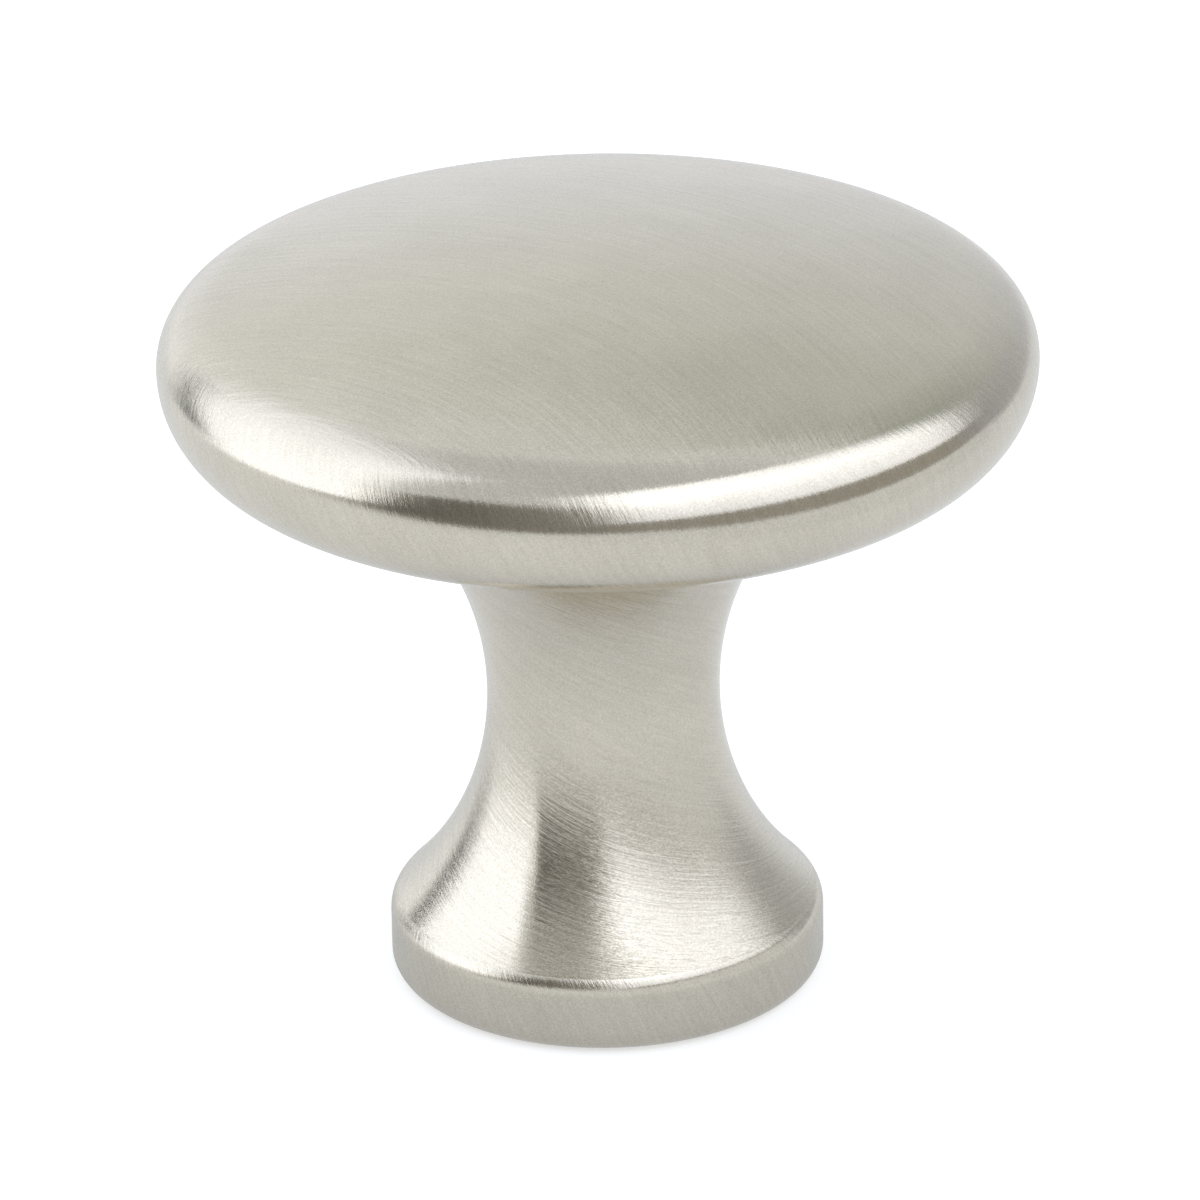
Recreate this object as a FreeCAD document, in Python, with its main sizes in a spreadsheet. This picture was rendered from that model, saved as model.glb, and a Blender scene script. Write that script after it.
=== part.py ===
import FreeCAD, Part
import math
import os
import Sketcher
from FreeCAD import Vector

# A cabinet knob cast in one piece: a crowned mushroom head on a waisted stem that flares to a
# round foot. It is a figure of revolution about +Z, with its origin at the centre of the foot.
# The foot has a shallow recess and a blind tapped hole for the screw that comes through the door.

SIZES = [
    ("head_diameter", 32.0, "across the widest line of the rim"),
    ("rim_level", 24.3, "height of that widest line above the door"),
    ("rim_upper_radius", 2.07, "roll of the rim above its widest line"),
    ("rim_lower_radius", 3.2, "roll of the rim below its widest line"),
    ("crown_radius", 60.0, "shallow dome of the head"),
    ("crown_roll_radius", 4.7, "softer roll between the dome and the rim"),
    ("crown_margin", 2.2, "from the edge of the dome to the widest line, seen from above"),
    ("underside_slope", 8.0, "degrees by which the underside falls towards the stem"),
    ("collar_diameter", 18.0, "where the stem's upper flare would meet the underside"),
    ("collar_fillet", 3.0, "blend of the flare into the underside"),
    ("neck_diameter", 8.55, "narrowest part of the stem"),
    ("neck_level", 11.15, "height of the narrowest part"),
    ("foot_diameter", 16.0, "across the foot"),
    ("foot_band", 2.3, "straight side of the foot"),
    ("foot_shoulder", 1.0, "roll from the foot's side into the stem"),
    ("foot_edge", 0.8, "rounded lower edge of the foot"),
    ("recess_diameter", 12.6, "shallow recess that leaves a narrow seat round the foot"),
    ("recess_depth", 0.35, "depth of that recess"),
    ("tap_drill", 3.45, "hole that is tapped No. 8-32"),
    ("tap_depth", 15.0, "full wall of the tapped hole, with its countersink"),
    ("tap_point", 118.0, "degrees across the drill's point"),
    ("mouth_diameter", 4.8, "countersink at the mouth of the hole"),
    ("mouth_angle", 90.0, "degrees across that countersink"),
]


def make_sheet(doc):
    """Puts each size in its own named cell, with a note beside it."""
    sheet = doc.addObject("Spreadsheet::Sheet", "sizes")
    for row, (alias, value, note) in enumerate(SIZES, start=1):
        sheet.set(f"A{row}", alias)
        sheet.set(f"B{row}", str(value))
        sheet.setAlias(f"B{row}", alias)
        sheet.set(f"C{row}", note)
    doc.recompute()
    return sheet


def origin_plane(body, role):
    """Finds one of the body's own origin planes."""
    return next(plane for plane in body.Origin.OriginFeatures if plane.Role == role)


def new_sketch(body, name, role):
    """Starts a sketch that lies flat on one of the body's origin planes."""
    sketch = body.newObject("Sketcher::SketchObject", name)
    sketch.AttachmentSupport = [(origin_plane(body, role), "")]
    sketch.MapMode = "FlatFace"
    return sketch


def arc(centre, radius, start, end):
    """An arc that runs anticlockwise from one angle to another, in radians."""
    return Part.ArcOfCircle(Part.Circle(centre, Vector(0, 0, 1), radius), start, end)


def line(start, end):
    return Part.LineSegment(start, end)


def on_circle(centre, radius, angle):
    return centre + Vector(radius * math.cos(angle), radius * math.sin(angle), 0)


def foot_and_stem(size):
    """The foot's side, its shoulder, and the two hollow arcs that meet at the neck."""
    foot = size.foot_diameter / 2
    neck = Vector(size.neck_diameter / 2, size.neck_level, 0)
    shoulder = Vector(foot - size.foot_shoulder, size.foot_band, 0)
    # The lower arc touches the shoulder's arc, so their centres lie both radii apart.
    inset = neck.x - shoulder.x
    rise = neck.y - shoulder.y
    lower = (inset**2 + rise**2 - size.foot_shoulder**2) / (2 * (size.foot_shoulder - inset))
    lower_centre = Vector(neck.x + lower, neck.y, 0)
    lean = math.atan2(rise, lower_centre.x - shoulder.x)
    return [
        line(Vector(0, 0, 0), Vector(foot, 0, 0)),
        line(Vector(foot, 0, 0), Vector(foot, size.foot_band, 0)),
        arc(shoulder, size.foot_shoulder, 0, lean),
        arc(lower_centre, lower, math.pi, math.pi + lean),
    ]


def flare_and_underside(size):
    """The upper hollow arc of the stem, the underside of the head, and the rim's lower roll."""
    slope = math.radians(size.underside_slope)
    neck = Vector(size.neck_diameter / 2, size.neck_level, 0)
    rim = Vector(size.head_diameter / 2 - size.rim_lower_radius, size.rim_level, 0)
    roll_start = slope - math.pi / 2
    edge = on_circle(rim, size.rim_lower_radius, roll_start)
    collar = Vector(size.collar_diameter / 2, 0, 0)
    collar.y = edge.y - (edge.x - collar.x) * math.tan(slope)
    # An arc with its centre level with the neck, through the neck and the collar.
    reach = collar.x - neck.x
    rise = collar.y - neck.y
    upper = (reach**2 + rise**2) / (2 * reach)
    upper_centre = Vector(neck.x + upper, neck.y, 0)
    lean = math.atan2(rise, upper_centre.x - collar.x)
    return [
        arc(upper_centre, upper, math.pi - lean, math.pi),
        line(collar, edge),
        arc(rim, size.rim_lower_radius, roll_start, 0),
    ]


def rim_and_crown(size):
    """The rim's upper roll, the softer roll above it, the dome, and the axis."""
    half = size.head_diameter / 2
    crown_edge = half - size.crown_margin
    crown_start = math.acos(crown_edge / size.crown_radius)
    # Where the two rolls meet follows from the width that they share.
    softer = size.crown_roll_radius - size.rim_upper_radius
    width = size.crown_margin - size.rim_upper_radius
    shared = (width + size.crown_roll_radius * math.cos(crown_start)) / softer
    roll_start = math.acos(shared)
    rim = Vector(half - size.rim_upper_radius, size.rim_level, 0)
    roll_centre = on_circle(rim, -softer, roll_start)
    crown_centre = on_circle(roll_centre, size.crown_roll_radius - size.crown_radius, crown_start)
    crown_centre.x = 0
    top = on_circle(crown_centre, size.crown_radius, math.pi / 2)
    return [
        arc(rim, size.rim_upper_radius, 0, roll_start),
        arc(roll_centre, size.crown_roll_radius, roll_start, crown_start),
        arc(crown_centre, size.crown_radius, crown_start, math.pi / 2),
        line(top, Vector(0, 0, 0)),
    ]


# Numbers that stand for a curve's two ends and its centre, then for the point and the upright
# line that the section is drawn from.
START, END, CENTRE = range(1, 4)
ORIGIN = (-1, 1)
UPRIGHT_AXIS = (-2,)


def constrain_section(sketch, part):
    """Joins the section's lines and arcs, and ties its sizes to the sheet."""
    rules = [
        ("Coincident", part["base"], START, *ORIGIN),
        ("Horizontal", part["base"]),
        ("Coincident", part["base"], END, part["side"], START),
        ("Vertical", part["side"]),
        ("Tangent", part["side"], END, part["shoulder"], START),
        ("Tangent", part["shoulder"], END, part["lower_flare"], END),
        ("Horizontal", part["lower_flare"], START, part["lower_flare"], CENTRE),
        ("Tangent", part["lower_flare"], START, part["upper_flare"], END),
        ("Coincident", part["upper_flare"], START, part["underside"], START),
        ("Tangent", part["underside"], END, part["lower_rim"], START),
        ("Horizontal", part["lower_rim"], END, part["lower_rim"], CENTRE),
        ("Tangent", part["lower_rim"], END, part["upper_rim"], START),
        ("Tangent", part["upper_rim"], END, part["roll"], START),
        ("Tangent", part["roll"], END, part["crown"], START),
        ("PointOnObject", part["crown"], CENTRE, *UPRIGHT_AXIS),
        ("PointOnObject", part["crown"], END, *UPRIGHT_AXIS),
        ("Coincident", part["crown"], END, part["axis"], START),
        ("Coincident", part["axis"], END, part["base"], START),
    ]
    sketch.addConstraint([Sketcher.Constraint(*rule) for rule in rules])

    sized = [
        ("foot_half", "DistanceX", (*ORIGIN, part["base"], END), "sizes.foot_diameter / 2"),
        ("foot_band", "DistanceY", (part["side"], START, part["side"], END), "sizes.foot_band"),
        ("foot_shoulder", "Radius", (part["shoulder"],), "sizes.foot_shoulder"),
        ("neck_half", "DistanceX", (*ORIGIN, part["lower_flare"], START), "sizes.neck_diameter / 2"),
        ("neck_level", "DistanceY", (*ORIGIN, part["lower_flare"], START), "sizes.neck_level"),
        ("collar_half", "DistanceX", (*ORIGIN, part["underside"], START), "sizes.collar_diameter / 2"),
        ("underside_slope", "Angle", (part["underside"],), "sizes.underside_slope"),
        ("lower_rim", "Radius", (part["lower_rim"],), "sizes.rim_lower_radius"),
        ("head_half", "DistanceX", (*ORIGIN, part["lower_rim"], END), "sizes.head_diameter / 2"),
        ("rim_level", "DistanceY", (*ORIGIN, part["lower_rim"], END), "sizes.rim_level"),
        ("upper_rim", "Radius", (part["upper_rim"],), "sizes.rim_upper_radius"),
        ("roll", "Radius", (part["roll"],), "sizes.crown_roll_radius"),
        ("crown", "Radius", (part["crown"],), "sizes.crown_radius"),
        ("crown_edge", "DistanceX", (*ORIGIN, part["crown"], START),
         "sizes.head_diameter / 2 - sizes.crown_margin"),
    ]
    for name, kind, where, formula in sized:
        measure = measured(sketch, kind, where)
        index = sketch.addConstraint(Sketcher.Constraint(kind, *where, measure))
        sketch.renameConstraint(index, name)
        sketch.setExpression(f"Constraints.{name}", formula)


def measured(sketch, kind, where):
    """What a size comes to in the sketch as it was drawn."""
    if kind == "Radius":
        return sketch.Geometry[where[0]].Radius
    if kind == "Angle":
        run = sketch.Geometry[where[0]]
        return math.atan2(run.EndPoint.y - run.StartPoint.y, run.EndPoint.x - run.StartPoint.x)
    step = sketch.getPoint(*where[2:]) - sketch.getPoint(*where[:2])
    return step.x if kind == "DistanceX" else step.y


def make_section(body, size):
    """Half the knob's outline, from the foot up to the crown and back down the axis."""
    sketch = new_sketch(body, "section", "XZ_Plane")
    names = ["base", "side", "shoulder", "lower_flare", "upper_flare", "underside", "lower_rim",
             "upper_rim", "roll", "crown", "axis"]
    outline = foot_and_stem(size) + flare_and_underside(size) + rim_and_crown(size)
    part = {name: sketch.addGeometry(curve) for name, curve in zip(names, outline)}
    constrain_section(sketch, part)
    return sketch


def round_edge(body, base, name, diameter, level_is, radius):
    """Rounds the one circular edge of that diameter whose height passes the test."""
    picked = [
        f"Edge{number}"
        for number, edge in enumerate(base.Shape.Edges, start=1)
        if not edge.Degenerated
        and isinstance(edge.Curve, Part.Circle)
        and math.isclose(edge.Curve.Radius, diameter / 2, abs_tol=1e-4)
        and abs(edge.Curve.Axis.z) > 0.999
        and level_is(edge.Curve.Center.z)
    ]
    if len(picked) != 1:
        raise RuntimeError(f"{name} found {len(picked)} edges")
    fillet = body.newObject("PartDesign::Fillet", name)
    fillet.Base = (base, picked)
    fillet.setExpression("Radius", radius)
    body.Document.recompute()
    return fillet


def circle_sketch(body, name, across, across_size, level_size=None):
    """One circle about the knob's axis, level with the foot or raised by a size."""
    sketch = new_sketch(body, name, "XY_Plane")
    if level_size:
        sketch.setExpression("AttachmentOffset.Base.z", level_size)
    ring = sketch.addGeometry(Part.Circle(Vector(0, 0, 0), Vector(0, 0, 1), across / 2))
    sketch.addConstraint(Sketcher.Constraint("Coincident", ring, CENTRE, *ORIGIN))
    sized = sketch.addConstraint(Sketcher.Constraint("Diameter", ring, across))
    sketch.renameConstraint(sized, "across")
    sketch.setExpression("Constraints.across", across_size)
    return sketch


def cut_recess(body, size):
    """The shallow recess in the foot, cut upwards from the face that meets the door."""
    pocket = body.newObject("PartDesign::Pocket", "recess")
    pocket.Profile = circle_sketch(body, "recess_circle", size.recess_diameter,
                                   "sizes.recess_diameter")
    pocket.Type = "Length"
    pocket.Reversed = True
    pocket.setExpression("Length", "sizes.recess_depth")
    body.Document.recompute()
    return pocket


def drill_for_screw(body, size):
    """The tapped hole: a plain drilled wall with a drill point above and a countersunk mouth."""
    place = circle_sketch(body, "screw_place", size.tap_drill, "sizes.tap_drill",
                          "sizes.recess_depth")
    body.Document.recompute()
    hole = body.newObject("PartDesign::Hole", "screw_hole")
    hole.Profile = place
    hole.Reversed = True
    hole.Threaded = False
    hole.DepthType = "Dimension"
    hole.DrillPoint = "Angled"
    hole.HoleCutType = "Countersink"
    hole.HoleCutCustomValues = True
    hole.setExpression("Diameter", "sizes.tap_drill")
    hole.setExpression("Depth", "sizes.tap_depth")
    hole.setExpression("DrillPointAngle", "sizes.tap_point")
    hole.setExpression("HoleCutDiameter", "sizes.mouth_diameter")
    hole.setExpression("HoleCutCountersinkAngle", "sizes.mouth_angle")
    body.Document.recompute()
    return hole


def must_be_smaller(feature, before):
    """A cut that points away from the metal removes nothing and shows no error."""
    if feature.Shape.Volume >= before:
        raise RuntimeError(f"{feature.Name} cut nothing")


def make_knob(doc, size):
    """Turns the section about the upright axis, then rounds, recesses and drills it."""
    body = doc.addObject("PartDesign::Body", "knob")
    body.Label = "knob"
    body.Placement = FreeCAD.Placement()
    section = make_section(body, size)
    turned = body.newObject("PartDesign::Revolution", "turned_form")
    turned.Profile = section
    turned.ReferenceAxis = (section, ["V_Axis"])
    turned.Angle = 360
    doc.recompute()

    above_neck = lambda level: level > size.neck_level
    on_door = lambda level: abs(level) < size.foot_band / 2
    blended = round_edge(body, turned, "collar_blend", size.collar_diameter, above_neck,
                         "sizes.collar_fillet")
    rounded = round_edge(body, blended, "foot_rounding", size.foot_diameter, on_door,
                         "sizes.foot_edge")
    recess = cut_recess(body, size)
    must_be_smaller(recess, rounded.Shape.Volume)
    hole = drill_for_screw(body, size)
    must_be_smaller(hole, recess.Shape.Volume)
    return body


def check(doc, body):
    """Stops if any step failed or the solid isn't a single closed one."""
    for thing in doc.Objects:
        if "Invalid" in thing.State or "Error" in thing.State:
            raise RuntimeError(f"{thing.Name} failed: {thing.State}")
    shape = body.Shape
    if shape.isNull() or not shape.isValid() or len(shape.Solids) != 1:
        raise RuntimeError(f"{body.Label} is not one sound solid")


def main():
    doc = FreeCAD.newDocument("cabinet_knob")
    sheet = make_sheet(doc)
    knob = make_knob(doc, sheet)
    doc.recompute()
    check(doc, knob)
    os.makedirs("parts", exist_ok=True)
    knob.Shape.exportStep(f"parts/{knob.Label}.step")
    box = knob.Shape.optimalBoundingBox(False)
    print(f"{knob.Label}: {box.XLength:.2f} x {box.YLength:.2f} x {box.ZLength:.2f} mm,",
          f"{knob.Shape.Volume:.1f} mm3")


main()
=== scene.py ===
import math

import bpy
import numpy as np
from mathutils import Matrix, Vector


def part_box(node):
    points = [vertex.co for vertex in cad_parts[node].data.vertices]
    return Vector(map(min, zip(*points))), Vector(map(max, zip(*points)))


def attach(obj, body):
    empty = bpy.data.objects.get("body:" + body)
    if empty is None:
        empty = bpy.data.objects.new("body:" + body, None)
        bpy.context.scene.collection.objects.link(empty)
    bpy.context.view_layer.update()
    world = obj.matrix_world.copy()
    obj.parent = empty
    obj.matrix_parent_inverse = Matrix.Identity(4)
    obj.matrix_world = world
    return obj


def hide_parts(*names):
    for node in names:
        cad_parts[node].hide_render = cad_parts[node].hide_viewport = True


# A cabinet knob of cast zinc, plated and brushed as satin nickel, on a pale studio floor.
# Lengths in the settings are millimetres and angles are degrees, unless a name says otherwise.

mm = 0.001
samePlace = 1e-6                # millimetres, within which two points are one
upright = np.array([0, 0, 1.0])
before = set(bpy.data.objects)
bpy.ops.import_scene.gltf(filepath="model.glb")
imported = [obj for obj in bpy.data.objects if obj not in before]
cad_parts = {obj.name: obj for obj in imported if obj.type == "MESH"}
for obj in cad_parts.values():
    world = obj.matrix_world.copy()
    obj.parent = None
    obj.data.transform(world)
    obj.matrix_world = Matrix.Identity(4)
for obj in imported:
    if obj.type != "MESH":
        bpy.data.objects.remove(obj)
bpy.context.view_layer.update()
lowCorner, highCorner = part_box("knob")

# The casting: the head's width and the height are the frame's, the rest is this knob's outline.
casting = {
    "headRadius": (highCorner.x - lowCorner.x) / 2 / mm,
    "height": highCorner.z / mm,
    "crownRadius": 60.0,
    "crownMargin": 2.2,         # from the dome's edge to the widest line, seen from above
    "crownRollRadius": 4.7,     # softer roll between the dome and the rim
    "rimUpperRadius": 2.07,
    "rimLowerRadius": 3.2,
    "undersideSlope": 8.0,
    "collarRadius": 9.0,        # where the upper flare would meet the underside
    "collarFillet": 3.0,
    "neckRadius": 4.275,
    "neckLevel": 11.15,
    "footRadius": 8.0,
    "footBand": 2.3,
    "footShoulder": 1.0,
    "footEdge": 0.8,
    "recessRadius": 6.3,
    "recessDepth": 0.35,
    "cornerRadius": 0.12,       # what tumbling leaves on the small corners under the foot
    "columns": 240,
    "rowSpacing": 0.45,         # along the outline
    "rowTurn": 4.0,             # degrees from row to row in a bend
    "fewestSteps": 3,           # in a bend, however small
}

# The hole for the door's screw: No. 8-32, tapped into a drilled wall.
thread = {
    "wallRadius": 1.725,
    "mouthRadius": 2.4,
    "wallEnd": 15.35,
    "pointAngle": 118.0,
    "pitch": 0.794,
    "depth": 0.358,
    "rootWidth": 0.1,
    "mouthWidth": 0.512,
    "tappedTo": 13.2,
    "rowsPerPitch": 10,
}


# A circular stretch of outline, in (radius, height): centre + radius * (cos, sin) at even angles
# from start to stop, in degrees, with 0 outwards and 90 up.
def arc(centre, radius, start, stop):
    length = abs(math.radians(stop - start)) * radius
    steps = max(casting["fewestSteps"], math.ceil(length / casting["rowSpacing"]),
                math.ceil(abs(stop - start) / casting["rowTurn"]))
    turn = np.radians(np.linspace(start, stop, steps + 1))
    return np.stack([centre[0] + radius * np.cos(turn), centre[1] + radius * np.sin(turn)], 1)


# A straight stretch: (1 - share) * start + share * stop, at even shares.
def run(start, stop, spacing):
    steps = max(1, math.ceil(math.dist(start, stop) / spacing))
    share = np.linspace(0, 1, steps + 1)[:, None]
    return (1 - share) * np.array(start) + share * np.array(stop)


# A small corner: an arc between two sides, whose centre is radius / sin(half the angle) from the
# corner, and whose ends are radius / tan(half the angle) along the sides.
def corner(before, at, after, radius):
    before, at, after = (np.array(point, float) for point in (before, at, after))
    back = (before - at) / np.linalg.norm(before - at)
    ahead = (after - at) / np.linalg.norm(after - at)
    half = math.acos(np.clip(back @ ahead, -1, 1)) / 2
    middle = (back + ahead) / np.linalg.norm(back + ahead)
    centre = at + middle * radius / math.sin(half)
    first, last = (at + side * radius / math.tan(half) - centre for side in (back, ahead))
    start = math.degrees(math.atan2(first[1], first[0]))
    sweep = math.degrees(math.atan2(first[0] * last[1] - first[1] * last[0], first @ last))
    return arc(centre, radius, start, start + sweep)


# The head, from the crown's tip outwards: the dome, the soft roll, the rim's upper and lower
# rolls. Each arc's centre lies on the line through its neighbour's centre and their tangent point.
def headOutline(c):
    domeCentre = np.array([0.0, c["height"] - c["crownRadius"]])
    domeEnd = math.acos((c["headRadius"] - c["crownMargin"]) / c["crownRadius"])
    apart = c["crownRollRadius"] - c["rimUpperRadius"]
    inset = c["crownMargin"] - c["rimUpperRadius"]
    rollEnd = math.acos((inset + c["crownRollRadius"] * math.cos(domeEnd)) / apart)
    towards = lambda turn: np.array([math.cos(turn), math.sin(turn)])
    rollCentre = domeCentre + (c["crownRadius"] - c["crownRollRadius"]) * towards(domeEnd)
    rimCentre = rollCentre + apart * towards(rollEnd)
    lowerCentre = np.array([c["headRadius"] - c["rimLowerRadius"], rimCentre[1]])
    domeEnd, rollEnd = math.degrees(domeEnd), math.degrees(rollEnd)
    return [
        ("crown", arc(domeCentre, c["crownRadius"], 90, domeEnd)),
        ("crown", arc(rollCentre, c["crownRollRadius"], domeEnd, rollEnd)),
        ("rim", arc(rimCentre, c["rimUpperRadius"], rollEnd, 0)),
        ("rim", arc(lowerCentre, c["rimLowerRadius"], 0, c["undersideSlope"] - 90)),
    ]


# The underside and the waisted stem. The upper flare's arc passes through the neck and the collar
# with its centre level with the neck, and a small fillet blends it into the underside. The lower
# flare's arc touches the foot's shoulder.
def stemOutline(c, rimEnd):
    slope = math.radians(c["undersideSlope"])
    along = np.array([math.cos(slope), math.sin(slope)])
    below = np.array([math.sin(slope), -math.cos(slope)])
    neck = np.array([c["neckRadius"], c["neckLevel"]])
    collarLevel = rimEnd[1] - (rimEnd[0] - c["collarRadius"]) * math.tan(slope)
    reach, rise = c["collarRadius"] - neck[0], collarLevel - neck[1]
    upperRadius = (reach**2 + rise**2) / (2 * reach)
    upperCentre = neck + [upperRadius, 0]

    # The fillet's centre lies its radius below the underside and inside the flare's arc.
    offset = rimEnd + c["collarFillet"] * below - upperCentre
    within = upperRadius - c["collarFillet"]
    slide = offset @ along + math.sqrt((offset @ along)**2 - offset @ offset + within**2)
    filletCentre = upperCentre + offset - slide * along
    filletEnd = math.degrees(math.atan2(*(filletCentre - upperCentre)[::-1]))
    underEnd = filletCentre - c["collarFillet"] * below

    shoulderCentre = np.array([c["footRadius"] - c["footShoulder"], c["footBand"]])
    inset, drop = neck - shoulderCentre
    touching = inset**2 + drop**2 - c["footShoulder"]**2
    lowerRadius = touching / (2 * (c["footShoulder"] - inset))
    lowerCentre = neck + [lowerRadius, 0]
    lean = math.degrees(math.atan2(drop, lowerCentre[0] - shoulderCentre[0]))
    return [
        ("rim", run(rimEnd, underEnd, c["rowSpacing"])),
        ("stem", arc(filletCentre, c["collarFillet"], 90 + c["undersideSlope"], filletEnd)),
        ("stem", arc(upperCentre, upperRadius, filletEnd, 180)),
        ("flare", arc(lowerCentre, lowerRadius, 180, 180 + lean)),
        ("foot", arc(shoulderCentre, c["footShoulder"], lean, 0)),
    ]


# The foot's side and lower edge, the narrow seat, the shallow recess, and the drilled hole with
# its countersink and drill point.
def footOutline(c, t):
    foot, edge, seat = c["footRadius"], c["footEdge"], c["recessRadius"]
    mouth, wall = t["mouthRadius"], t["wallRadius"]
    wallStart = c["recessDepth"] + mouth - wall
    tip = t["wallEnd"] + wall / math.tan(math.radians(t["pointAngle"] / 2))
    seatStart = (foot - edge, 0.0)
    corners = [seatStart, (seat, 0.0), (seat, c["recessDepth"]), (mouth, c["recessDepth"]),
               (wall, wallStart)]
    stretches = [
        ("foot", run((foot, c["footBand"]), (foot, edge), c["rowSpacing"])),
        ("foot", arc((foot - edge, edge), edge, 0, -90)),
    ]
    reached = np.array(seatStart)
    for before, at, after in zip(corners, corners[1:], corners[2:]):
        bend = corner(before, at, after, c["cornerRadius"])
        stretches.append(("recess", run(reached, bend[0], c["rowSpacing"])))
        stretches.append(("recess", bend))
        reached = bend[-1]
    stretches.append(("recess", run(reached, (wall, wallStart), c["rowSpacing"])))
    bore = run((wall, wallStart), (wall, t["wallEnd"]), t["pitch"] / t["rowsPerPitch"])
    stretches.append(("bore", bore))
    stretches.append(("bore", run((wall, t["wallEnd"]), (0.0, tip), c["rowSpacing"])))
    return stretches


# The whole outline as rows: radius, height, the zone of each row, and the way that the outline
# runs there. Points shared by two stretches are kept once.
def wholeOutline(c, t):
    head = headOutline(c)
    stretches = head + stemOutline(c, head[-1][1][-1]) + footOutline(c, t)
    points = np.concatenate([stretch for _, stretch in stretches])
    zones = np.concatenate([[zone] * len(stretch) for zone, stretch in stretches])
    step = np.linalg.norm(np.diff(points, axis=0), axis=1)
    kept = np.concatenate([[True], step > samePlace])
    points, zones = points[kept], zones[kept]
    way = np.gradient(points, axis=0)
    way /= np.linalg.norm(way, axis=1)[:, None]
    return points, zones, way


# The thread is a helical groove: how far a point is from the groove's middle, along the bore and
# within one pitch, gives its depth, flat at the root and sloping to the wall on both flanks.
def threadGroove(height, turn, t):
    start = casting["recessDepth"] + t["mouthRadius"] - t["wallRadius"]
    phase = (height - start) / t["pitch"] - turn / (2 * math.pi)
    away = np.abs(phase - np.round(phase)) * t["pitch"]
    flank = (t["mouthWidth"] - t["rootWidth"]) / 2
    depth = t["depth"] * np.clip((t["mouthWidth"] / 2 - away) / flank, 0, 1)
    runIn = np.clip((height - start) / t["pitch"], 0, 1)
    runOut = np.clip((t["tappedTo"] - height) / t["pitch"], 0, 1)
    return depth * runIn * runOut


# How the knob was brushed. Strokes run across the crown in wide arcs about a point off to the
# front left, and wind round the rim, the stem and the foot, down to the right. Steepness is the
# strokes' lean at a zone's two ends, and the mean radius sizes their pattern in that zone.
brushing = {
    "crownCentre": (-20.0, -24.0),
    "steepness": {"crown": (65, 65), "rim": (65, 65), "stem": (30, 30), "flare": (30, 10),
                  "foot": (60, 68), "recess": (30, 30), "bore": (5, 5)},
    "meanRadius": {"crown": 15.0, "rim": 15.0, "stem": 5.2, "foot": 8.0, "recess": 5.0,
                   "bore": 1.8},
    "tightestRadius": 0.5,      # strokes wind no faster than they do here
    "crownFrom": 14.2,          # the crown's strokes give way to the rim's between these radii
    "crownTo": 15.6,
    "roughness": {"crown": 0.105, "rim": 0.17, "stem": 0.15, "flare": 0.15, "foot": 0.18,
                  "recess": 0.36, "bore": 0.38},
    "depth": {"crown": 0.013, "rim": 0.011, "stem": 0.015, "flare": 0.022, "foot": 0.020,
              "recess": 0.006, "bore": 0.0},
    "blendedRows": 3,           # rows on each side that a zone's roughness and depth fade over
}


# The points of the turned knob, ring by ring: (radius * cos(turn), radius * sin(turn), height),
# with the groove's depth added to the radius in the bore. Each tip is a single point.
def turnedPoints(points, zones, turn, t):
    radius = np.repeat(points[:, :1], len(turn), 1)
    height = np.repeat(points[:, 1:], len(turn), 1)
    inBore = (zones == "bore") & (points[:, 0] > t["wallRadius"] - samePlace)
    radius[inBore] += threadGroove(height[inBore], turn[None, :], t)
    around = np.stack([np.cos(turn), np.sin(turn), 0 * turn], 1)
    place = radius[..., None] * around[None] + height[..., None] * upright
    return np.concatenate([place[0, :1], place[1:-1].reshape(-1, 3), place[-1, :1]])


# Quads between neighbouring rings, then a fan of triangles at each tip.
def turnedFaces(rows, columns):
    ring = 1 + np.arange((rows - 2) * columns).reshape(rows - 2, columns)
    following = np.roll(ring, -1, 1)
    quads = np.stack([ring[:-1], ring[1:], following[1:], following[:-1]], -1).reshape(-1, 4)
    lastTip = ring[-1, -1] + 1
    top = np.stack([np.zeros(columns, int), ring[0], following[0]], 1)
    bottom = np.stack([ring[-1], np.full(columns, lastTip), following[-1]], 1)
    return quads.tolist() + top.tolist() + bottom.tolist()


# The strokes' lean at each row, even along each zone from its first value to its last.
def strokeLean(zones, length, b):
    lean = np.zeros(len(zones))
    for zone, ends in b["steepness"].items():
        chosen = zones == zone
        span = [length[chosen].min(), length[chosen].max()]
        lean[chosen] = np.interp(length[chosen], span, np.radians(ends))
    return lean


# How much each row has of the crown's strokes: all of it on the crown, none below the middle of
# the rim, and between them (crownTo - radius) / (crownTo - crownFrom), eased as s * s * (3 - 2s).
def crownShare(points, zones, b):
    share = (b["crownTo"] - points[:, 0]) / (b["crownTo"] - b["crownFrom"])
    middleOfRim = (zones == "crown").sum() + (zones == "rim").sum() / 2
    share = np.where(np.arange(len(points)) < middleOfRim, share, 0.0)
    share = np.clip(np.where(zones == "crown", 1.0, share), 0, 1)
    return share * share * (3 - 2 * share)


# Which way is across the strokes. Where they wind, it is cos(lean) * along the outline - sin(lean)
# * sideways. On the crown, it is away from the arcs' centre, laid along the surface by taking out
# what points along the normal. The crown's share blends the two.
def acrossStrokes(meridian, sideways, lean, away, share):
    winding = np.cos(lean)[:, None] * meridian - np.sin(lean)[:, None] * sideways
    normal = np.cross(meridian, sideways)
    outward = away / np.linalg.norm(away, axis=1)[:, None]
    outward -= (outward * normal).sum(1)[:, None] * normal
    across = winding * (1 - share[:, None]) + outward * share[:, None]
    return across / np.linalg.norm(across, axis=1)[:, None]


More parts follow.
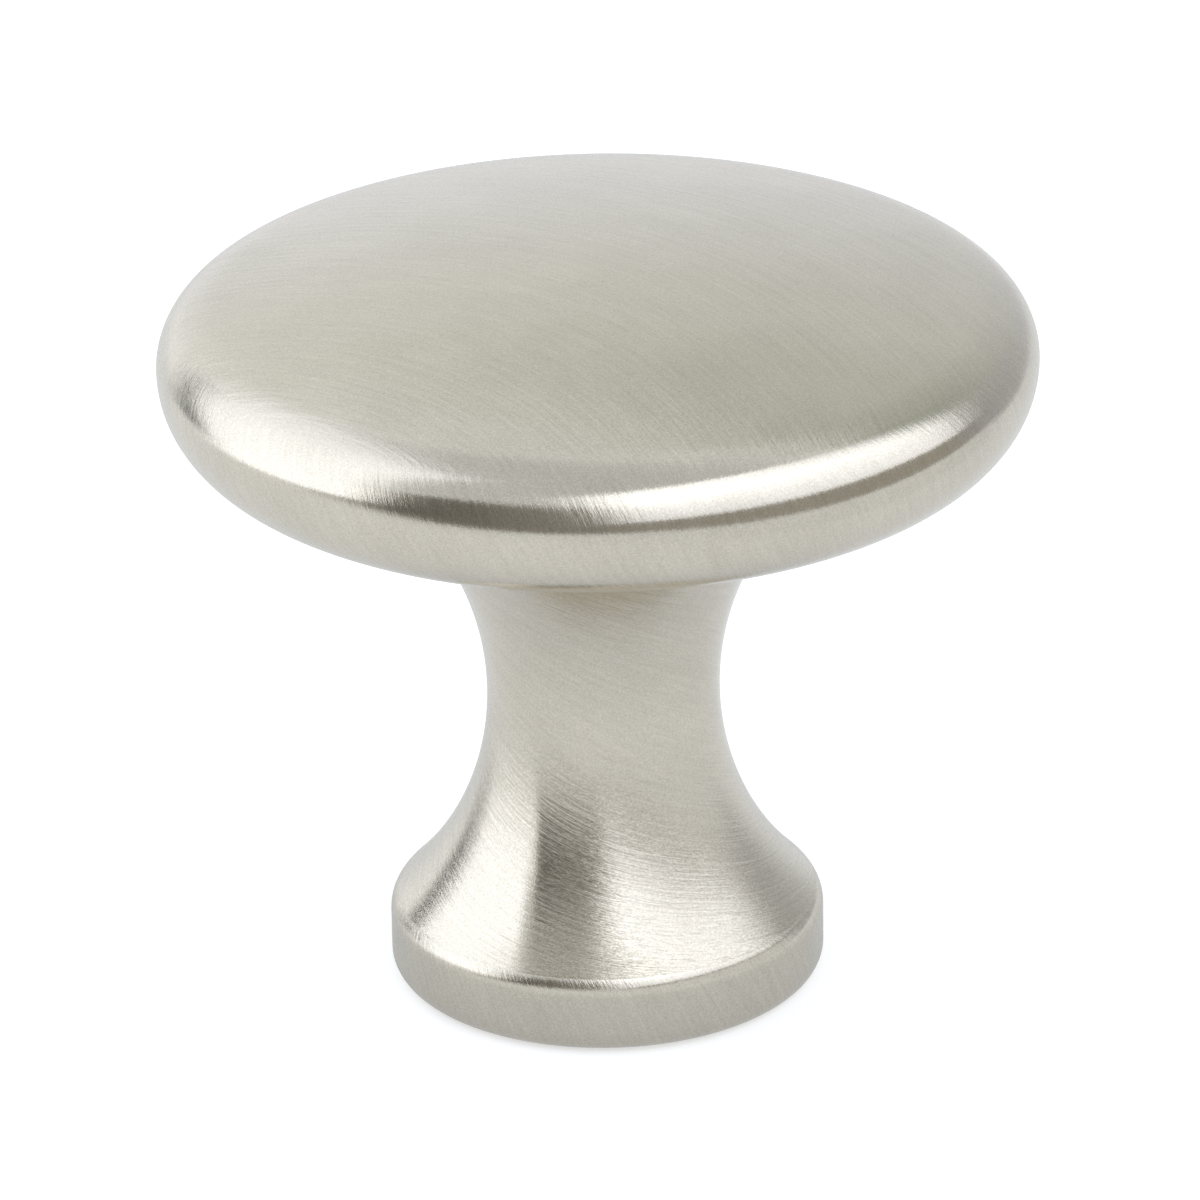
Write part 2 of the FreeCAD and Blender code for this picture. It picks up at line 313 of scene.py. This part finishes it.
# Where each face corner lies in the winding strokes' pattern, in millimetres. A stroke keeps one
# starting bearing, so the turn is wound back by how far the stroke has come, which is the sum of
# each step along the outline / (radius * tan(lean)). Each face goes by its own zone, so that none
# spans two. The flare's pattern is the stem's.
def windingPlaces(mesh, outline, lean, turn, row, column, b):
    points, zones, length = outline
    corners = np.zeros(len(mesh.loops), int)
    mesh.loops.foreach_get("vertex_index", corners)
    counts = np.zeros(len(mesh.polygons), int)
    mesh.polygons.foreach_get("loop_total", counts)
    face = np.repeat(np.arange(len(counts)), counts)
    rowOfCorner = row[corners]
    firstRow = np.full(len(counts), len(points))
    np.minimum.at(firstRow, face, rowOfCorner)
    patterns = np.where(zones == "flare", "stem", zones)
    pattern = patterns[np.clip(firstRow[face] + 1, 0, len(points) - 1)]
    rate = 1 / (np.maximum(points[:, 0], b["tightestRadius"]) * np.tan(lean))
    wound = np.concatenate([[0], np.cumsum((rate[1:] + rate[:-1]) / 2 * np.diff(length))])
    places = np.zeros((len(corners), 3))
    for zone, meanRadius in b["meanRadius"].items():
        chosen = pattern == zone
        slope = math.sin(math.radians(b["steepness"][zone][0]))
        start = turn[column[corners[chosen]]] - wound[rowOfCorner[chosen]]
        winding = meanRadius * slope
        places[chosen] = np.stack([winding * np.cos(start), winding * np.sin(start),
                                   length[rowOfCorner[chosen]] / slope], 1)
    return places


# A level for each row from its zone's, each row taking the mean of its neighbours and itself.
def zoneLevels(zones, levels, reach):
    level = np.array([levels[zone] for zone in zones])
    window = np.ones(2 * reach + 1)
    return np.convolve(np.pad(level, reach, "edge"), window / len(window), "valid")


# Puts an attribute on the mesh, for the points or for the corners of its faces.
def give(mesh, name, values, domain="POINT"):
    kind, field = ("FLOAT", "value") if values.ndim == 1 else ("FLOAT_VECTOR", "vector")
    layer = mesh.attributes.new(name, kind, domain)
    layer.data.foreach_set(field, np.ascontiguousarray(values, np.float32).ravel())


# The knob is the outline turned about the upright axis. Its attributes carry the brushing: where
# each point lies along and across the strokes, in millimetres, and which way is across them.
def turnedKnob(c, t, b):
    points, zones, way = wholeOutline(c, t)
    rows, columns = len(points), c["columns"]
    turn = np.arange(columns) * 2 * math.pi / columns
    verts = turnedPoints(points, zones, turn, t)
    mesh = bpy.data.meshes.new("brushedKnob")
    mesh.from_pydata(verts * mm, [], turnedFaces(rows, columns))
    mesh.polygons.foreach_set("use_smooth", np.ones(len(mesh.polygons), bool))

    # Each point's row and column, with the two tips in the first and last rows.
    row = np.concatenate([[0], np.repeat(np.arange(1, rows - 1), columns), [rows - 1]])
    column = np.concatenate([[0], np.tile(np.arange(columns), rows - 2), [0]])
    around = np.stack([np.cos(turn), np.sin(turn), 0 * turn], 1)[column]
    sideways = np.stack([-np.sin(turn), np.cos(turn), 0 * turn], 1)[column]
    meridian = way[row, :1] * around + way[row, 1:] * upright
    length = np.concatenate([[0], np.cumsum(np.linalg.norm(np.diff(points, axis=0), axis=1))])
    lean = strokeLean(zones, length, b)
    share = crownShare(points, zones, b)[row]

    # On the crown a point's place is its distance from the arcs' centre and how far round it is.
    away = verts - np.array([*b["crownCentre"], 0])
    away[:, 2] = 0
    reach = np.linalg.norm(away, axis=1)
    bearing = np.arctan2(away[:, 1], away[:, 0])
    meanReach = np.linalg.norm(b["crownCentre"])

    give(mesh, "acrossStrokes", acrossStrokes(meridian, sideways, lean[row], away, share))
    give(mesh, "crownStrokes", np.stack([reach, 0 * reach, bearing * meanReach], 1))
    give(mesh, "crownShare", share)
    give(mesh, "boreShare", np.isin(zones, ("recess", "bore"))[row])
    give(mesh, "strokeRoughness", zoneLevels(zones, b["roughness"], b["blendedRows"])[row])
    give(mesh, "strokeDepth", zoneLevels(zones, b["depth"], b["blendedRows"])[row])
    outline = (points, zones, length)
    give(mesh, "sideStrokes", windingPlaces(mesh, outline, lean, turn, row, column, b), "CORNER")
    knob = bpy.data.objects.new("brushedKnob", mesh)
    bpy.context.scene.collection.objects.link(knob)
    return knob


# Turns a hex colour as it is seen into the linear one that shaders take, by the sRGB standard:
# seen / 12.92 in the darkest part, and ((seen + 0.055) / 1.055) ^ 2.4 above it.
def linear(code):
    seen = np.array([int(code[at:at + 2], 16) / 255 for at in (1, 3, 5)])
    light = np.where(seen <= 0.04045, seen / 12.92, ((seen + 0.055) / 1.055)**2.4)
    return (*light.tolist(), 1.0)


# Adds one node, sets what is named, and links sockets or gives them values. Inputs go by name, or
# by number where several have one name: a mix has its share at 0, numbers at 2 and 3, and colours
# at 6 and 7.
def node(tree, kind, settings=None, inputs=None):
    made = tree.nodes.new(kind)
    for name, value in (settings or {}).items():
        setattr(made, name, value)
    for name, value in (inputs or {}).items():
        if isinstance(value, bpy.types.NodeSocket):
            tree.links.new(value, made.inputs[name])
        else:
            made.inputs[name].default_value = value
    return made


# Node trees start with a few nodes of their own, which are taken out.
def emptyTree(owner):
    owner.use_nodes = True
    owner.node_tree.nodes.clear()
    return owner.node_tree


# Brushed satin nickel: nickel electroplated on a polished zinc casting and then scratched with a
# fine belt. It gives a soft grey mirror with a warm cast, smeared across the strokes.
satin = {
    "bright": "#E2DBCC",
    "dull": "#C7C0B2",
    "boreMetal": "#B9B7B2",
    "anisotropic": 0.72,
    "strokeWidth": 0.20,        # the widest strokes, with finer octaves of them riding on these
    "sideLength": 2.4,
    "crownLength": 5.0,
    "strokeOctaves": 4.0,
    "octaveStrength": 0.72,     # of each octave, as a share of the one before
    "octaveFiner": 2.1,         # times finer than the one before
    "strokeRange": (0.25, 0.75),        # most of the pattern's levels lie between these
    "roughnessRange": (0.85, 1.15),     # what they do to the roughness
    "grainSize": 0.07,
    "grainOctaves": 1.0,
    "grainDepth": 0.0015,
    "patchSize": 3.5,
    "patchOctaves": 2.0,
    "patchShare": 0.5,          # how much the patches and the grain count beside the strokes
    "grainShare": 1.5,
    "toneReach": 0.5,           # from the middle tone to the dull or the bright colour
}


# Tone = strokes + patchShare * patches + grainShare * grain, from dull to bright. Relief = strokes
# * the zone's depth, and then the grain. Roughness = the zone's * what the strokes make of it.
def satinNickel(s):
    material = bpy.data.materials.new("brushedSatinNickel")
    tree = emptyTree(material)

    # The strokes: noise drawn out along them, one pattern for the sides and one for the crown.
    strokes = []
    for name, long in (("sideStrokes", s["sideLength"]), ("crownStrokes", s["crownLength"])):
        scale = (1 / s["strokeWidth"], 1 / s["strokeWidth"], 1 / long)
        place = node(tree, "ShaderNodeAttribute", {"attribute_name": name})
        spread = node(tree, "ShaderNodeMapping", {},
                      {"Vector": place.outputs["Vector"], "Scale": scale})
        strokes.append(node(tree, "ShaderNodeTexNoise", {"noise_dimensions": "3D"},
                            {"Vector": spread.outputs["Vector"], "Scale": 1.0,
                             "Detail": s["strokeOctaves"], "Roughness": s["octaveStrength"],
                             "Lacunarity": s["octaveFiner"]}))
    crown = node(tree, "ShaderNodeAttribute", {"attribute_name": "crownShare"})
    brushed = node(tree, "ShaderNodeMix", {"data_type": "FLOAT"},
                   {0: crown.outputs["Fac"], 2: strokes[0].outputs["Fac"],
                    3: strokes[1].outputs["Fac"]})

    # The grain of the plating, and broad patches where it is a little duller.
    spot = node(tree, "ShaderNodeTexCoord")
    grain = node(tree, "ShaderNodeTexNoise", {"noise_dimensions": "3D"},
                 {"Vector": spot.outputs["Object"], "Scale": 1 / (s["grainSize"] * mm),
                  "Detail": s["grainOctaves"]})
    patch = node(tree, "ShaderNodeTexNoise", {"noise_dimensions": "3D"},
                 {"Vector": spot.outputs["Object"], "Scale": 1 / (s["patchSize"] * mm),
                  "Detail": s["patchOctaves"]})

    depth = node(tree, "ShaderNodeAttribute", {"attribute_name": "strokeDepth"})
    cut = node(tree, "ShaderNodeMath", {"operation": "MULTIPLY"},
               {0: brushed.outputs[0], 1: depth.outputs["Fac"]})
    strokeBump = node(tree, "ShaderNodeBump", {},
                      {"Strength": 1.0, "Distance": mm, "Height": cut.outputs[0]})
    grainBump = node(tree, "ShaderNodeBump", {},
                     {"Strength": 1.0, "Distance": s["grainDepth"] * mm,
                      "Height": grain.outputs["Fac"], "Normal": strokeBump.outputs["Normal"]})

    tone = node(tree, "ShaderNodeMath", {"operation": "MULTIPLY_ADD"},
                {0: patch.outputs["Fac"], 1: s["patchShare"], 2: brushed.outputs[0]})
    grained = node(tree, "ShaderNodeMath", {"operation": "MULTIPLY_ADD"},
                   {0: grain.outputs["Fac"], 1: s["grainShare"], 2: tone.outputs[0]})
    middleTone = (1 + s["patchShare"] + s["grainShare"]) / 2
    levelled = node(tree, "ShaderNodeMapRange", {},
                    {"Value": grained.outputs[0], "From Min": middleTone - s["toneReach"],
                     "From Max": middleTone + s["toneReach"]})
    colour = node(tree, "ShaderNodeMix", {"data_type": "RGBA"},
                  {0: levelled.outputs["Result"], 6: linear(s["dull"]), 7: linear(s["bright"])})
    bore = node(tree, "ShaderNodeAttribute", {"attribute_name": "boreShare"})
    metal = node(tree, "ShaderNodeMix", {"data_type": "RGBA"},
                 {0: bore.outputs["Fac"], 6: colour.outputs[2], 7: linear(s["boreMetal"])})

    zoneRoughness = node(tree, "ShaderNodeAttribute", {"attribute_name": "strokeRoughness"})
    varied = node(tree, "ShaderNodeMapRange", {},
                  {"Value": brushed.outputs[0],
                   "From Min": s["strokeRange"][0], "From Max": s["strokeRange"][1],
                   "To Min": s["roughnessRange"][0], "To Max": s["roughnessRange"][1]})
    rough = node(tree, "ShaderNodeMath", {"operation": "MULTIPLY"},
                 {0: zoneRoughness.outputs["Fac"], 1: varied.outputs["Result"]})
    across = node(tree, "ShaderNodeAttribute", {"attribute_name": "acrossStrokes"})
    surface = node(tree, "ShaderNodeBsdfPrincipled", {},
                   {"Metallic": 1.0, "Anisotropic": s["anisotropic"],
                    "Base Color": metal.outputs[2], "Roughness": rough.outputs[0],
                    "Normal": grainBump.outputs["Normal"], "Tangent": across.outputs["Vector"]})
    node(tree, "ShaderNodeOutputMaterial", {}, {"Surface": surface.outputs["BSDF"]})
    return material


knob = turnedKnob(casting, thread, brushing)
knob.data.materials.append(satinNickel(satin))
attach(knob, "root")
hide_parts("knob")
print("knob turned:", len(knob.data.polygons), "faces")


# The studio, where a strength of 1 is white. The knob mirrors the room and the floor. The camera
# sees the floor white and the room pale grey. Heights and sides of the room are shares of the way
# to straight up or straight to the side.
studio = {
    "floorOutline": [(-1500, -68), (30, -68), (110, 20), (160, 200), (160, 1500),
                     (-1500, 1500)],
    "floorLevel": -0.01,        # a hair under the foot, so that the two faces don't meet
    "floorPaint": "#E6E6E6",
    "floorLift": 0.45,          # light added to the floor that the camera sees
    "floorMirrored": 0.92,      # the floor's strength in the metal, far from the knob
    # floorShade is a painted shadow of the knob in the floor's glow in the metal, and floorFall is
    # painted shade towards the right.
    "floorShade": 0.6,          # how much of it the knob takes away underneath itself
    "shadeReach": 10.0,         # over which that shade fades
    "floorFall": 0.10,          # how much darker the floor is this far to the right:
    "fallReach": 200.0,
    "backWall": {0: ("#F5F7FF", 0.97), 15: ("#F5FAFF", 0.89), 30: ("#FAFEFF", 0.81),
                 42: ("#F8FFFA", 0.68), 90: ("#F8FFFA", 0.68)},
    "sideFall": 0.55,           # how much darker the right wall is than the back wall
    "frontWallLow": 0.6,
    "frontWallHigh": 2.1,
    "frontWallTop": 0.7,        # the height at which it is that bright
    "wallBlend": 0.3,           # how far to each side the back and front walls overlap
    "ceilingEdge": (-1.1, -1.145, 1.0),
    "edgeSoftness": 0.012,
    "ceilingFrom": 0.3,         # the ceiling's edge fades in between these heights
    "ceilingWhole": 0.5,
    "ceilingTint": "#F5FAFF",
    "ceilingNear": 1.08,        # strength at the edge, and this far beyond it:
    "ceilingReach": 0.45,
    "ceilingOver": 0.72,
}

softboxTint = "#F0F5FF"
flagTint = "#FFFCF4"
floorTint = "#F6FAFF"
cardPoints = 9                  # along each side of a card, so that its strength changes evenly

# Each card is a flat sheet. Its corners go round it with a strength at each one: bottom left,
# bottom right, top right, top left, as the knob sees it.
cards = {
    "leftSoftbox": (softboxTint, [(-150, -95, 28, 1.95), (-150, 46, -6, 1.85),
                                  (-150, 404, 461, 1.08), (-150, -38, 461, 1.23)]),
    "leftFlag": (flagTint, [(-152, 35, -2, 0.05), (-152, 114, -2, 0.05),
                            (-152, 186, 166, 0.05), (-152, 35, 166, 0.05)]),
    "frontFlag": (flagTint, [(-116, -77, 12, 0.12), (71, -198, -60, 0.4),
                             (26, -169, 125, 0.34), (-107, -83, 104, 0.12)]),
    "rightSoftbox": (softboxTint, [(10, -125, 37, 1.25), (103, 13, 38, 1.45),
                                   (116, 32, 95, 1.8), (0, -141, 130, 2.4)]),
    "rightSoftboxTop": (softboxTint, [(0, -141, 130, 2.4), (116, 32, 95, 1.8),
                                      (128, 51, 212, 1.15), (-14, -162, 262, 2.3)]),
    "rightStrip": (flagTint, [(10, -125, -60, 0.36), (103, 13, -60, 0.4),
                              (103, 13, 38, 0.4), (10, -125, 37, 0.36)]),
    "frontSill": (floorTint, [(-110, -57, 0, 0.88), (12, -57, 0, 0.88),
                              (12, -57, 14.5, 0.88), (-110, -57, 10, 0.88)]),
    "rightSill": (floorTint, [(12, -57, 0, 0.88), (66, 22, 0, 0.8),
                              (66, 22, 19, 0.8), (12, -57, 14.5, 0.88)]),
}


# A card is softbox cloth or painted board. It glows in its tint at the strength that its points
# carry, which the metal shows as a broad soft light or as a dark band.
def cardGlow(name, tint):
    material = bpy.data.materials.new(name)
    tree = emptyTree(material)
    strength = node(tree, "ShaderNodeAttribute", {"attribute_name": "strength"})
    glow = node(tree, "ShaderNodeEmission", {},
                {"Color": linear(tint), "Strength": strength.outputs["Fac"]})
    node(tree, "ShaderNodeOutputMaterial", {}, {"Surface": glow.outputs[0]})
    return material


# A sheet of the studio, from points in millimetres. It isn't part of the knob.
def studioSheet(name, points, faces, material):
    mesh = bpy.data.meshes.new(name)
    mesh.from_pydata((np.array(points, float) * mm).tolist(), [], faces)
    mesh.materials.append(material)
    sheet = bpy.data.objects.new(name, mesh)
    bpy.context.scene.collection.objects.link(sheet)
    return sheet


# A grid between four corners: each place and strength is the corners' mean, weighted by how near
# they are, u of the way across and v of the way up. The camera doesn't see it.
def flatCard(name, tint, corners):
    u, v = np.meshgrid(np.linspace(0, 1, cardPoints), np.linspace(0, 1, cardPoints))
    shares = np.stack([(1 - u) * (1 - v), u * (1 - v), u * v, (1 - u) * v], -1)
    values = (shares @ np.array(corners, float)).reshape(-1, 4)
    column = np.arange(cardPoints - 1)
    first = (column[:, None] * cardPoints + column).ravel()
    faces = np.stack([first, first + 1, first + cardPoints + 1, first + cardPoints], 1)
    card = studioSheet(name, values[:, :3], faces.tolist(), cardGlow(name, tint))
    give(card.data, "strength", values[:, 3])
    card.visible_camera = False


# Satin acrylic sheet for the floor: white where the camera looks at it, apart from the knob's
# soft shadow. In the metal it glows, with the knob's shadow painted in round the foot and painted
# shade darkening it to the right: its strength is floorMirrored - floorShade * e^(-distance /
# shadeReach) - floorFall * x / fallReach.
def paleFloor(s):
    material = bpy.data.materials.new("paleStudioFloor")
    tree = emptyTree(material)
    diffuse = node(tree, "ShaderNodeBsdfDiffuse", {}, {"Color": linear(s["floorPaint"])})
    lift = node(tree, "ShaderNodeEmission", {}, {"Strength": s["floorLift"]})
    seen = node(tree, "ShaderNodeAddShader", {}, {0: diffuse.outputs[0], 1: lift.outputs[0]})

    place = node(tree, "ShaderNodeTexCoord")
    away = node(tree, "ShaderNodeVectorMath", {"operation": "LENGTH"},
                {0: place.outputs["Object"]})
    faded = node(tree, "ShaderNodeMath", {"operation": "DIVIDE"},
                 {0: away.outputs["Value"], 1: -s["shadeReach"] * mm})
    shade = node(tree, "ShaderNodeMath", {"operation": "EXPONENT"}, {0: faded.outputs[0]})
    shaded = node(tree, "ShaderNodeMath", {"operation": "MULTIPLY_ADD"},
                  {0: shade.outputs[0], 1: -s["floorShade"], 2: s["floorMirrored"]})
    sides = node(tree, "ShaderNodeSeparateXYZ", {}, {"Vector": place.outputs["Object"]})
    fall = node(tree, "ShaderNodeMapRange", {},
                {"Value": sides.outputs["X"], "From Min": -s["fallReach"] * mm,
                 "From Max": s["fallReach"] * mm, "To Min": s["floorFall"],
                 "To Max": -s["floorFall"]})
    strength = node(tree, "ShaderNodeMath", {"operation": "ADD"},
                    {0: shaded.outputs[0], 1: fall.outputs["Result"]})
    mirrored = node(tree, "ShaderNodeEmission", {},
                    {"Color": linear(floorTint), "Strength": strength.outputs[0]})
    path = node(tree, "ShaderNodeLightPath")
    mix = node(tree, "ShaderNodeMixShader", {}, {0: path.outputs["Is Camera Ray"],
                                                 1: mirrored.outputs[0], 2: seen.outputs[0]})
    node(tree, "ShaderNodeOutputMaterial", {}, {"Surface": mix.outputs[0]})
    return material


# The room as the metal shows it: a back wall that darkens upwards and to the right, a bright wall
# behind the camera, and a ceiling that begins at a straight edge, where the way looked times
# ceilingEdge is 0. The camera sees plain pale grey.
def studioRoom(s):
    world = bpy.data.worlds.new("studioRoom")
    bpy.context.scene.world = world
    tree = emptyTree(world)
    way = node(tree, "ShaderNodeTexCoord")
    sides = node(tree, "ShaderNodeSeparateXYZ", {}, {"Vector": way.outputs["Generated"]})

    # The walls. The ramp's new stops start halfway and are moved to their elevations.
    back = node(tree, "ShaderNodeValToRGB", {}, {0: sides.outputs["Z"]})
    stops = back.color_ramp.elements
    while len(stops) < len(s["backWall"]):
        stops.new(0.5)
    for stop, (elevation, (tint, strength)) in zip(stops, sorted(s["backWall"].items())):
        stop.position = math.sin(math.radians(elevation))
        stop.color = [strength * value for value in linear(tint)[:3]] + [1.0]
    tilt = node(tree, "ShaderNodeMapRange", {},
                {"Value": sides.outputs["X"], "From Min": -1.0, "From Max": 1.0,
                 "To Min": 1 + s["sideFall"], "To Max": 1 - s["sideFall"]})
    backWall = node(tree, "ShaderNodeVectorMath", {"operation": "SCALE"},
                    {0: back.outputs["Color"], "Scale": tilt.outputs["Result"]})
    frontWall = node(tree, "ShaderNodeMapRange", {},
                     {"Value": sides.outputs["Z"], "From Min": 0.0,
                      "From Max": s["frontWallTop"], "To Min": s["frontWallLow"],
                      "To Max": s["frontWallHigh"]})
    behind = node(tree, "ShaderNodeMapRange", {"interpolation_type": "SMOOTHSTEP"},
                  {"Value": sides.outputs["Y"], "From Min": -s["wallBlend"],
                   "From Max": s["wallBlend"]})
    walls = node(tree, "ShaderNodeMix", {"data_type": "RGBA"},
                 {0: behind.outputs["Result"], 6: frontWall.outputs["Result"],
                  7: backWall.outputs["Vector"]})

    # The ceiling, which covers the walls beyond its edge.
    beyond = node(tree, "ShaderNodeVectorMath", {"operation": "DOT_PRODUCT"},
                  {0: way.outputs["Generated"], 1: s["ceilingEdge"]})
    edge = node(tree, "ShaderNodeMapRange", {"interpolation_type": "SMOOTHSTEP"},
                {"Value": beyond.outputs["Value"], "From Min": -s["edgeSoftness"],
                 "From Max": s["edgeSoftness"]})
    overhead = node(tree, "ShaderNodeMapRange", {},
                    {"Value": beyond.outputs["Value"], "From Max": s["ceilingReach"],
                     "To Min": s["ceilingNear"], "To Max": s["ceilingOver"]})
    ceiling = node(tree, "ShaderNodeVectorMath", {"operation": "SCALE"},
                   {0: linear(s["ceilingTint"])[:3], "Scale": overhead.outputs["Result"]})
    raised = node(tree, "ShaderNodeMapRange", {"interpolation_type": "SMOOTHSTEP"},
                  {"Value": sides.outputs["Z"], "From Min": s["ceilingFrom"],
                   "From Max": s["ceilingWhole"]})
    share = node(tree, "ShaderNodeMath", {"operation": "MULTIPLY"},
                 {0: edge.outputs["Result"], 1: raised.outputs["Result"]})
    room = node(tree, "ShaderNodeMix", {"data_type": "RGBA"},
                {0: share.outputs[0], 6: walls.outputs[2], 7: ceiling.outputs["Vector"]})
    mirrored = node(tree, "ShaderNodeBackground", {}, {"Color": room.outputs[2]})
    plainGrey = node(tree, "ShaderNodeBackground", {}, {"Strength": 1.0})
    path = node(tree, "ShaderNodeLightPath")
    mix = node(tree, "ShaderNodeMixShader", {}, {0: path.outputs["Is Camera Ray"],
                                                 1: mirrored.outputs[0], 2: plainGrey.outputs[0]})
    node(tree, "ShaderNodeOutputWorld", {}, {"Surface": mix.outputs[0]})


floorCorners = [(*at, studio["floorLevel"]) for at in studio["floorOutline"]]
studioSheet("studioFloor", floorCorners, [range(len(floorCorners))], paleFloor(studio))
for name, (tint, corners) in cards.items():
    flatCard(name, tint, corners)
studioRoom(studio)
print("studio set:", len(cards), "cards")

# The camera looks down at the knob from the front.
view = {
    "distance": 400.0,          # from the target
    "down": 24.803,             # degrees below level
    "roll": -0.989,             # degrees about its own line of sight
    "lens": 327.66,             # focal length, with a sensor this wide:
    "sensor": 36.0,
    "target": (0.0, 0.0, 13.6),
    "aside": -0.0887,           # how far the middle of the picture lies from the target
    "above": 0.9224,
}


# Right and up are level and square to the line of sight, and then rolled: right = flat right *
# cos(roll) + flat up * sin(roll), and up likewise. The aim then moves aside and above the target.
def setCamera(v):
    down, roll = math.radians(v["down"]), math.radians(v["roll"])
    target = Vector(v["target"])
    backward = Vector((0, -math.cos(down), math.sin(down)))
    flatRight, flatUp = Vector((1, 0, 0)), Vector((0, math.sin(down), math.cos(down)))
    right = flatRight * math.cos(roll) + flatUp * math.sin(roll)
    up = flatUp * math.cos(roll) - flatRight * math.sin(roll)
    place = target + backward * v["distance"]
    back = (place - target - right * v["aside"] - up * v["above"]).normalized()
    right = up.cross(back).normalized()
    up = back.cross(right)
    lens = bpy.data.cameras.new("productCamera")
    lens.lens = v["lens"]
    lens.sensor_width = v["sensor"]
    camera = bpy.data.objects.new("productCamera", lens)
    turned = Matrix((right, up, back)).transposed().to_4x4()
    camera.matrix_world = Matrix.Translation(place * mm) @ turned
    bpy.context.scene.collection.objects.link(camera)
    bpy.context.scene.camera = camera


setCamera(view)
bpy.context.scene.view_settings.view_transform = "Standard"
print("camera set")
